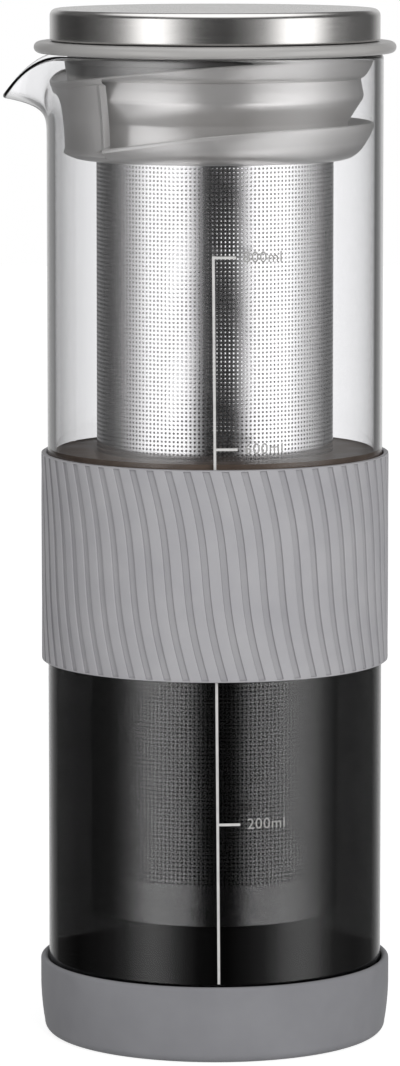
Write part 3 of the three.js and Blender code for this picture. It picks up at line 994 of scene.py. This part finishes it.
skirt_bore = inner_radius - SHEET
rim_corner = FILTER_RADIUS + RIM_FLANGE - RIM_ROUND
rim = turned("filter_rim_pressed", [
    (skirt_bore, RIM_TOP - RIM_SKIRT), (inner_radius, RIM_TOP - RIM_SKIRT),
    (inner_radius, RIM_UNDER - 0.01), (inner_radius + 0.02, RIM_UNDER)]
    + arc(rim_corner, RIM_UNDER + RIM_ROUND, RIM_ROUND, -90, 90, 8)
    + bend((skirt_bore + RIM_BEND, RIM_TOP), (skirt_bore, RIM_TOP), (skirt_bore, RIM_TOP - RIM_BEND), 6)
    + [(skirt_bore, RIM_TOP - RIM_SKIRT)])

for piece, solid in ((plain_foot, "filter_tube"), (plain_top, "filter_tube"), (dish, "filter_base"),
                     (rim, "filter_rim")):
    dress(piece, "filter", filter_finish, [solid])


# Lid: a drawn steel cap over a plastic insert whose plug carries a silicone ring

cap_corner = (CAP_RADIUS - CAP_EDGE, CAP_TOP - CAP_EDGE)
cap = turned("lid_cap_drawn", [(0, CAP_TOP - CAP_WALL)]
             + arc(*cap_corner, CAP_EDGE - CAP_WALL, 90, 0, 8)
             + arc(CAP_RADIUS - CAP_WALL / 2, CAP_UNDER + CAP_WALL / 2, CAP_WALL / 2, 180, 360, 8)
             + arc(*cap_corner, CAP_EDGE, 0, 90, 14)
             + [(CAP_RADIUS * 0.7, CAP_TOP), (CAP_RADIUS * 0.35, CAP_TOP), (0, CAP_TOP)])
dress(cap, "lid", cap_finish, ["lid_cap"])

plug_radius = skirt_bore - PLUG_SLIP
plug_bottom = RIM_TOP - PLUG_DEPTH
groove_radius = plug_radius - SEAL_DEPTH
plug_bore = groove_radius - INSERT_WALL
seal_bottom, seal_top = plug_bottom + SEAL_RISE, plug_bottom + SEAL_RISE + SEAL_HEIGHT
insert_radius = CAP_RADIUS - CAP_WALL - GAP
insert_under = CAP_UNDER + GAP
insert = turned("lid_insert_moulded", [
    (0, plug_bottom), (plug_radius - PLUG_CHAMFER, plug_bottom), (plug_radius - 0.5, plug_bottom + 0.3),
    (plug_radius, plug_bottom + PLUG_CHAMFER), (plug_radius, seal_bottom), (groove_radius, seal_bottom),
    (groove_radius, seal_top), (plug_radius, seal_top), (plug_radius, insert_under),
    (insert_radius, insert_under), (insert_radius, insert_under + INSERT_SKIRT),
    (insert_radius - INSERT_WALL, insert_under + INSERT_SKIRT),
    (insert_radius - INSERT_WALL, insert_under + INSERT_WALL), (plug_bore, insert_under + INSERT_WALL),
    (plug_bore, plug_bottom + INSERT_WALL), (0, plug_bottom + INSERT_WALL)])
dress(insert, "lid", insert_finish, ["lid_insert"])

ring_bottom, ring_top = seal_bottom + GAP, seal_top - GAP
ring_inside, ring_outside = groove_radius + GAP, plug_radius - GAP
seal = turned("lid_seal_ring", [(ring_inside, ring_bottom), (ring_outside, ring_bottom)]
              + arc(plug_radius - 0.7, (ring_bottom + ring_top) / 2, SEAL_ROUND, -80, 80, 12)
              + [(ring_outside, ring_top), (ring_inside, ring_top), (ring_inside, ring_bottom)])
dress(seal, "lid", seal_finish, ["lid_seal"])


# Studio

def make_world():
    """White for the camera and through the glass, soft strip lights for reflections, and a plain
    grey for everything that the world lights."""
    world = bpy.data.worlds.new("studio")
    bpy.context.scene.world = world
    world.use_nodes = True
    world.cycles.sampling_method = "NONE"
    tree = world.node_tree
    tree.nodes.clear()
    way = node(tree, "TexCoord").outputs["Generated"]
    turn = node(tree, "TexGradient", {"gradient_type": "RADIAL"}, {"Vector": way}).outputs["Fac"]
    rise = node(tree, "SeparateXYZ", inputs={0: way}).outputs["Z"]
    ray = node(tree, "LightPath").outputs
    # Light round the object, each at an angle from the front, in degrees to the right: strips as a
    # bare surface mirrors them, half of their strength
    bare = [(-90, 0.05), (-76, 0.1), (-65, 0.24), (-57, 0.52), (-49, 0.78), (-42, 0.86), (-35, 0.68),
            (-27, 0.36), (-20, 0.17), (-12, 0.05), (8, 0.02), (22, 0.08), (34, 0.18), (42, 0.4),
            (49, 0.68), (57, 0.86), (65, 0.88), (73, 0.7), (82, 0.34), (91, 0.13), (112, 0.06),
            (140, 0.05), (165, 0.33), (195, 0.33), (220, 0.04), (250, 0.02), (269, 0.05)]
    # As steel and satin behind the glass mirror them, through its two faces
    behind = [(-90, 0.22), (-80, 0.42), (-68, 0.66), (-50, 0.76), (-36, 0.8), (-27, 0.7), (-20, 0.4),
              (-14, 0.14), (-9, 0.01), (17, 0.01), (23, 0.1), (29, 0.4), (37, 0.76), (50, 0.86),
              (66, 0.88), (80, 0.66), (95, 0.38), (112, 0.2), (130, 0.05), (150, 0.05), (160, 0.08),
              (169, 0.3), (184, 0.28), (192, 0.12), (198, 0.11), (208, 0.11), (225, 0.04),
              (240, 0.02), (255, 0.05), (269, 0.22)]
    # The sweep as it shows through the glass alone, which falls off behind the left side
    sweep = [(-90, 1), (147, 1), (151, 0.4), (158, 0.4), (161, 0.93), (175, 1), (180, 1), (186, 0.82),
             (190, 0.72), (193, 0.68), (196, 0.8), (203, 0.84), (212, 0.7), (230, 1), (269, 1)]
    bare, behind, sweep = [
        node(tree, "ValToRGB", inputs={"Fac": turn}, stops=[
            ((angle + 90) / 360, share) for angle, share in light])
        for light in (bare, behind, sweep)]
    # The strips reach down to the table, where their light spreads over the stopper's undersides
    low = node(tree, "MapRange", EASED, {
        "Value": rise, "From Min": -0.4, "From Max": -0.85, "To Min": 1, "To Max": 1.5})
    behind = node(tree, "VectorMath", SCALED, {0: behind, "Scale": low})
    around = node(tree, "Mix", COLOURED, {
        0: ray["Is Transmission Ray"], 6: bare, 7: behind}).outputs[2]
    # A dark gap above the strips and a pale ceiling over it: where each starts and ends, and its grey
    for first, last, grey in ((0.22, 0.4, 0.05), (0.65, 0.9, 0.7)):
        share = node(tree, "MapRange", EASED, {
            "Value": rise, "From Min": first, "From Max": last})
        around = node(tree, "Mix", COLOURED, {
            0: share, 6: around, 7: (grey, grey, grey, 1)}).outputs[2]
    # Light that runs on inside the glass, from face to face, comes out mixed
    inside = node(tree, "Math", {"operation": "GREATER_THAN"}, {0: ray["Glossy Depth"], 1: 1.5})
    mixed = node(tree, "Math", TIMES, {0: inside, 1: 0.09})
    around = node(tree, "Mix", {"data_type": "RGBA", "blend_type": "LIGHTEN"}, {
        0: 1, 6: around, 7: mixed}).outputs[2]
    # What a ray sees: nothing but an even grey once a surface has scattered it, the strips after a
    # mirror, and the white sweep when it comes straight or through the glass alone
    clean = node(tree, "Math", {"operation": "LESS_THAN"}, {0: ray["Diffuse Depth"], 1: 0.5})
    clean = node(tree, "Math", TIMES, {0: passed_on(tree), 1: clean})
    after_mirror, before_mirror = [
        node(tree, "Math", TIMES, {
            0: clean, 1: node(tree, "Math", {"operation": kind}, {0: ray["Glossy Depth"], 1: 0.5})})
        for kind in ("GREATER_THAN", "LESS_THAN")]
    direct = node(tree, "Math", {"operation": "MAXIMUM"}, {0: ray["Is Camera Ray"], 1: before_mirror})
    white = node(tree, "Mix", COLOURED, {
        0: ray["Is Camera Ray"], 6: sweep, 7: (1, 1, 1, 1)}).outputs[2]
    plain, strips, white = [node(tree, "Background", inputs={"Color": colour, "Strength": level})
                            for colour, level in (((1, 1, 1, 1), WORLD_LEVEL), (around, STRIP_LEVEL),
                                                  (white, 1))]
    lit = node(tree, "MixShader", inputs={0: after_mirror, 1: plain, 2: strips})
    whole = node(tree, "MixShader", inputs={0: direct, 1: lit, 2: white})
    node(tree, "OutputWorld", inputs={"Surface": whole})


make_world()


def make_floor():
    """A pale floor that reads white where it is seen, and still takes the object's shadow."""
    floor = add("floor", bpy.ops.mesh.primitive_circle_add, vertices=96, radius=2.4, fill_type="NGON")
    made, tree, surface = material("white_floor")
    spot = node(tree, "TexCoord").outputs["Object"]
    # Faint clouds of 40 mm in its paint
    cloud = node(tree, "TexNoise", inputs={**NOISE, "Vector": spot, "Scale": 1 / (40 * MM)})
    paint = node(tree, "BsdfDiffuse", inputs={"Color": tint(tree, cloud, "#E8E8E8", "#ECECEC")})
    # To the camera it glows almost white, and its shadows darken the rest
    glow = node(tree, "Emission", inputs={"Color": linear("#FFFFFF"), "Strength": 0.84})
    shown = node(tree, "BsdfDiffuse", inputs={"Color": linear("#A8A8A8")})
    lifted = node(tree, "AddShader", inputs={0: shown, 1: glow})
    both = node(tree, "MixShader", inputs={
        0: node(tree, "LightPath").outputs["Is Camera Ray"], 1: paint, 2: lifted})
    # Mirrored rays and rays through the glass pass the floor by, to the white and the strips
    whole = node(tree, "MixShader", inputs={0: passed_on(tree), 1: both, 2: node(tree, "BsdfTransparent")})
    feed(surface, whole)
    made.cycles.emission_sampling = "NONE"
    floor.data.materials.append(made)


make_floor()


def make_lamp(name, azimuth, distance, height, width, tall, power):
    """A soft rectangular lamp, aimed at the middle of the carafe. Azimuth counts from the front, in
    degrees, and the lengths are in metres."""
    lamp = bpy.data.lights.new(name, "AREA")
    lamp.shape = "RECTANGLE"
    lamp.size, lamp.size_y = width, tall
    lamp.energy = power
    holder = bpy.data.objects.new(name, lamp)
    bpy.context.scene.collection.objects.link(holder)
    turn = azimuth * DEGREE
    holder.location = (distance * math.sin(turn), -distance * math.cos(turn), height)
    aim = Vector((0, 0, LAMP_AIM)) - holder.location
    holder.rotation_euler = aim.to_track_quat("-Z", "Y").to_euler()
    holder.visible_glossy = False
    holder.visible_transmission = False


make_lamp("key_lamp", azimuth=22, distance=1.3, height=0.6, width=0.7, tall=1, power=9)
make_lamp("fill_lamp", azimuth=-65, distance=1.3, height=0.4, width=0.5, tall=1, power=1.6)

camera_data = bpy.data.cameras.new("camera")
camera_data.sensor_fit = "VERTICAL"
camera_data.sensor_height = SENSOR_HEIGHT
camera_data.lens = SENSOR_HEIGHT / 2 / math.tan(CAMERA_FIELD / 2 * DEGREE)
camera_data.clip_start = 0.05
camera = bpy.data.objects.new("camera", camera_data)
bpy.context.scene.collection.objects.link(camera)
camera.location = CAMERA_PLACE
camera.rotation_euler = ((90 - CAMERA_FALL) * DEGREE, 0, 0)
bpy.context.scene.camera = camera
bpy.context.scene.view_settings.view_transform = "Standard"
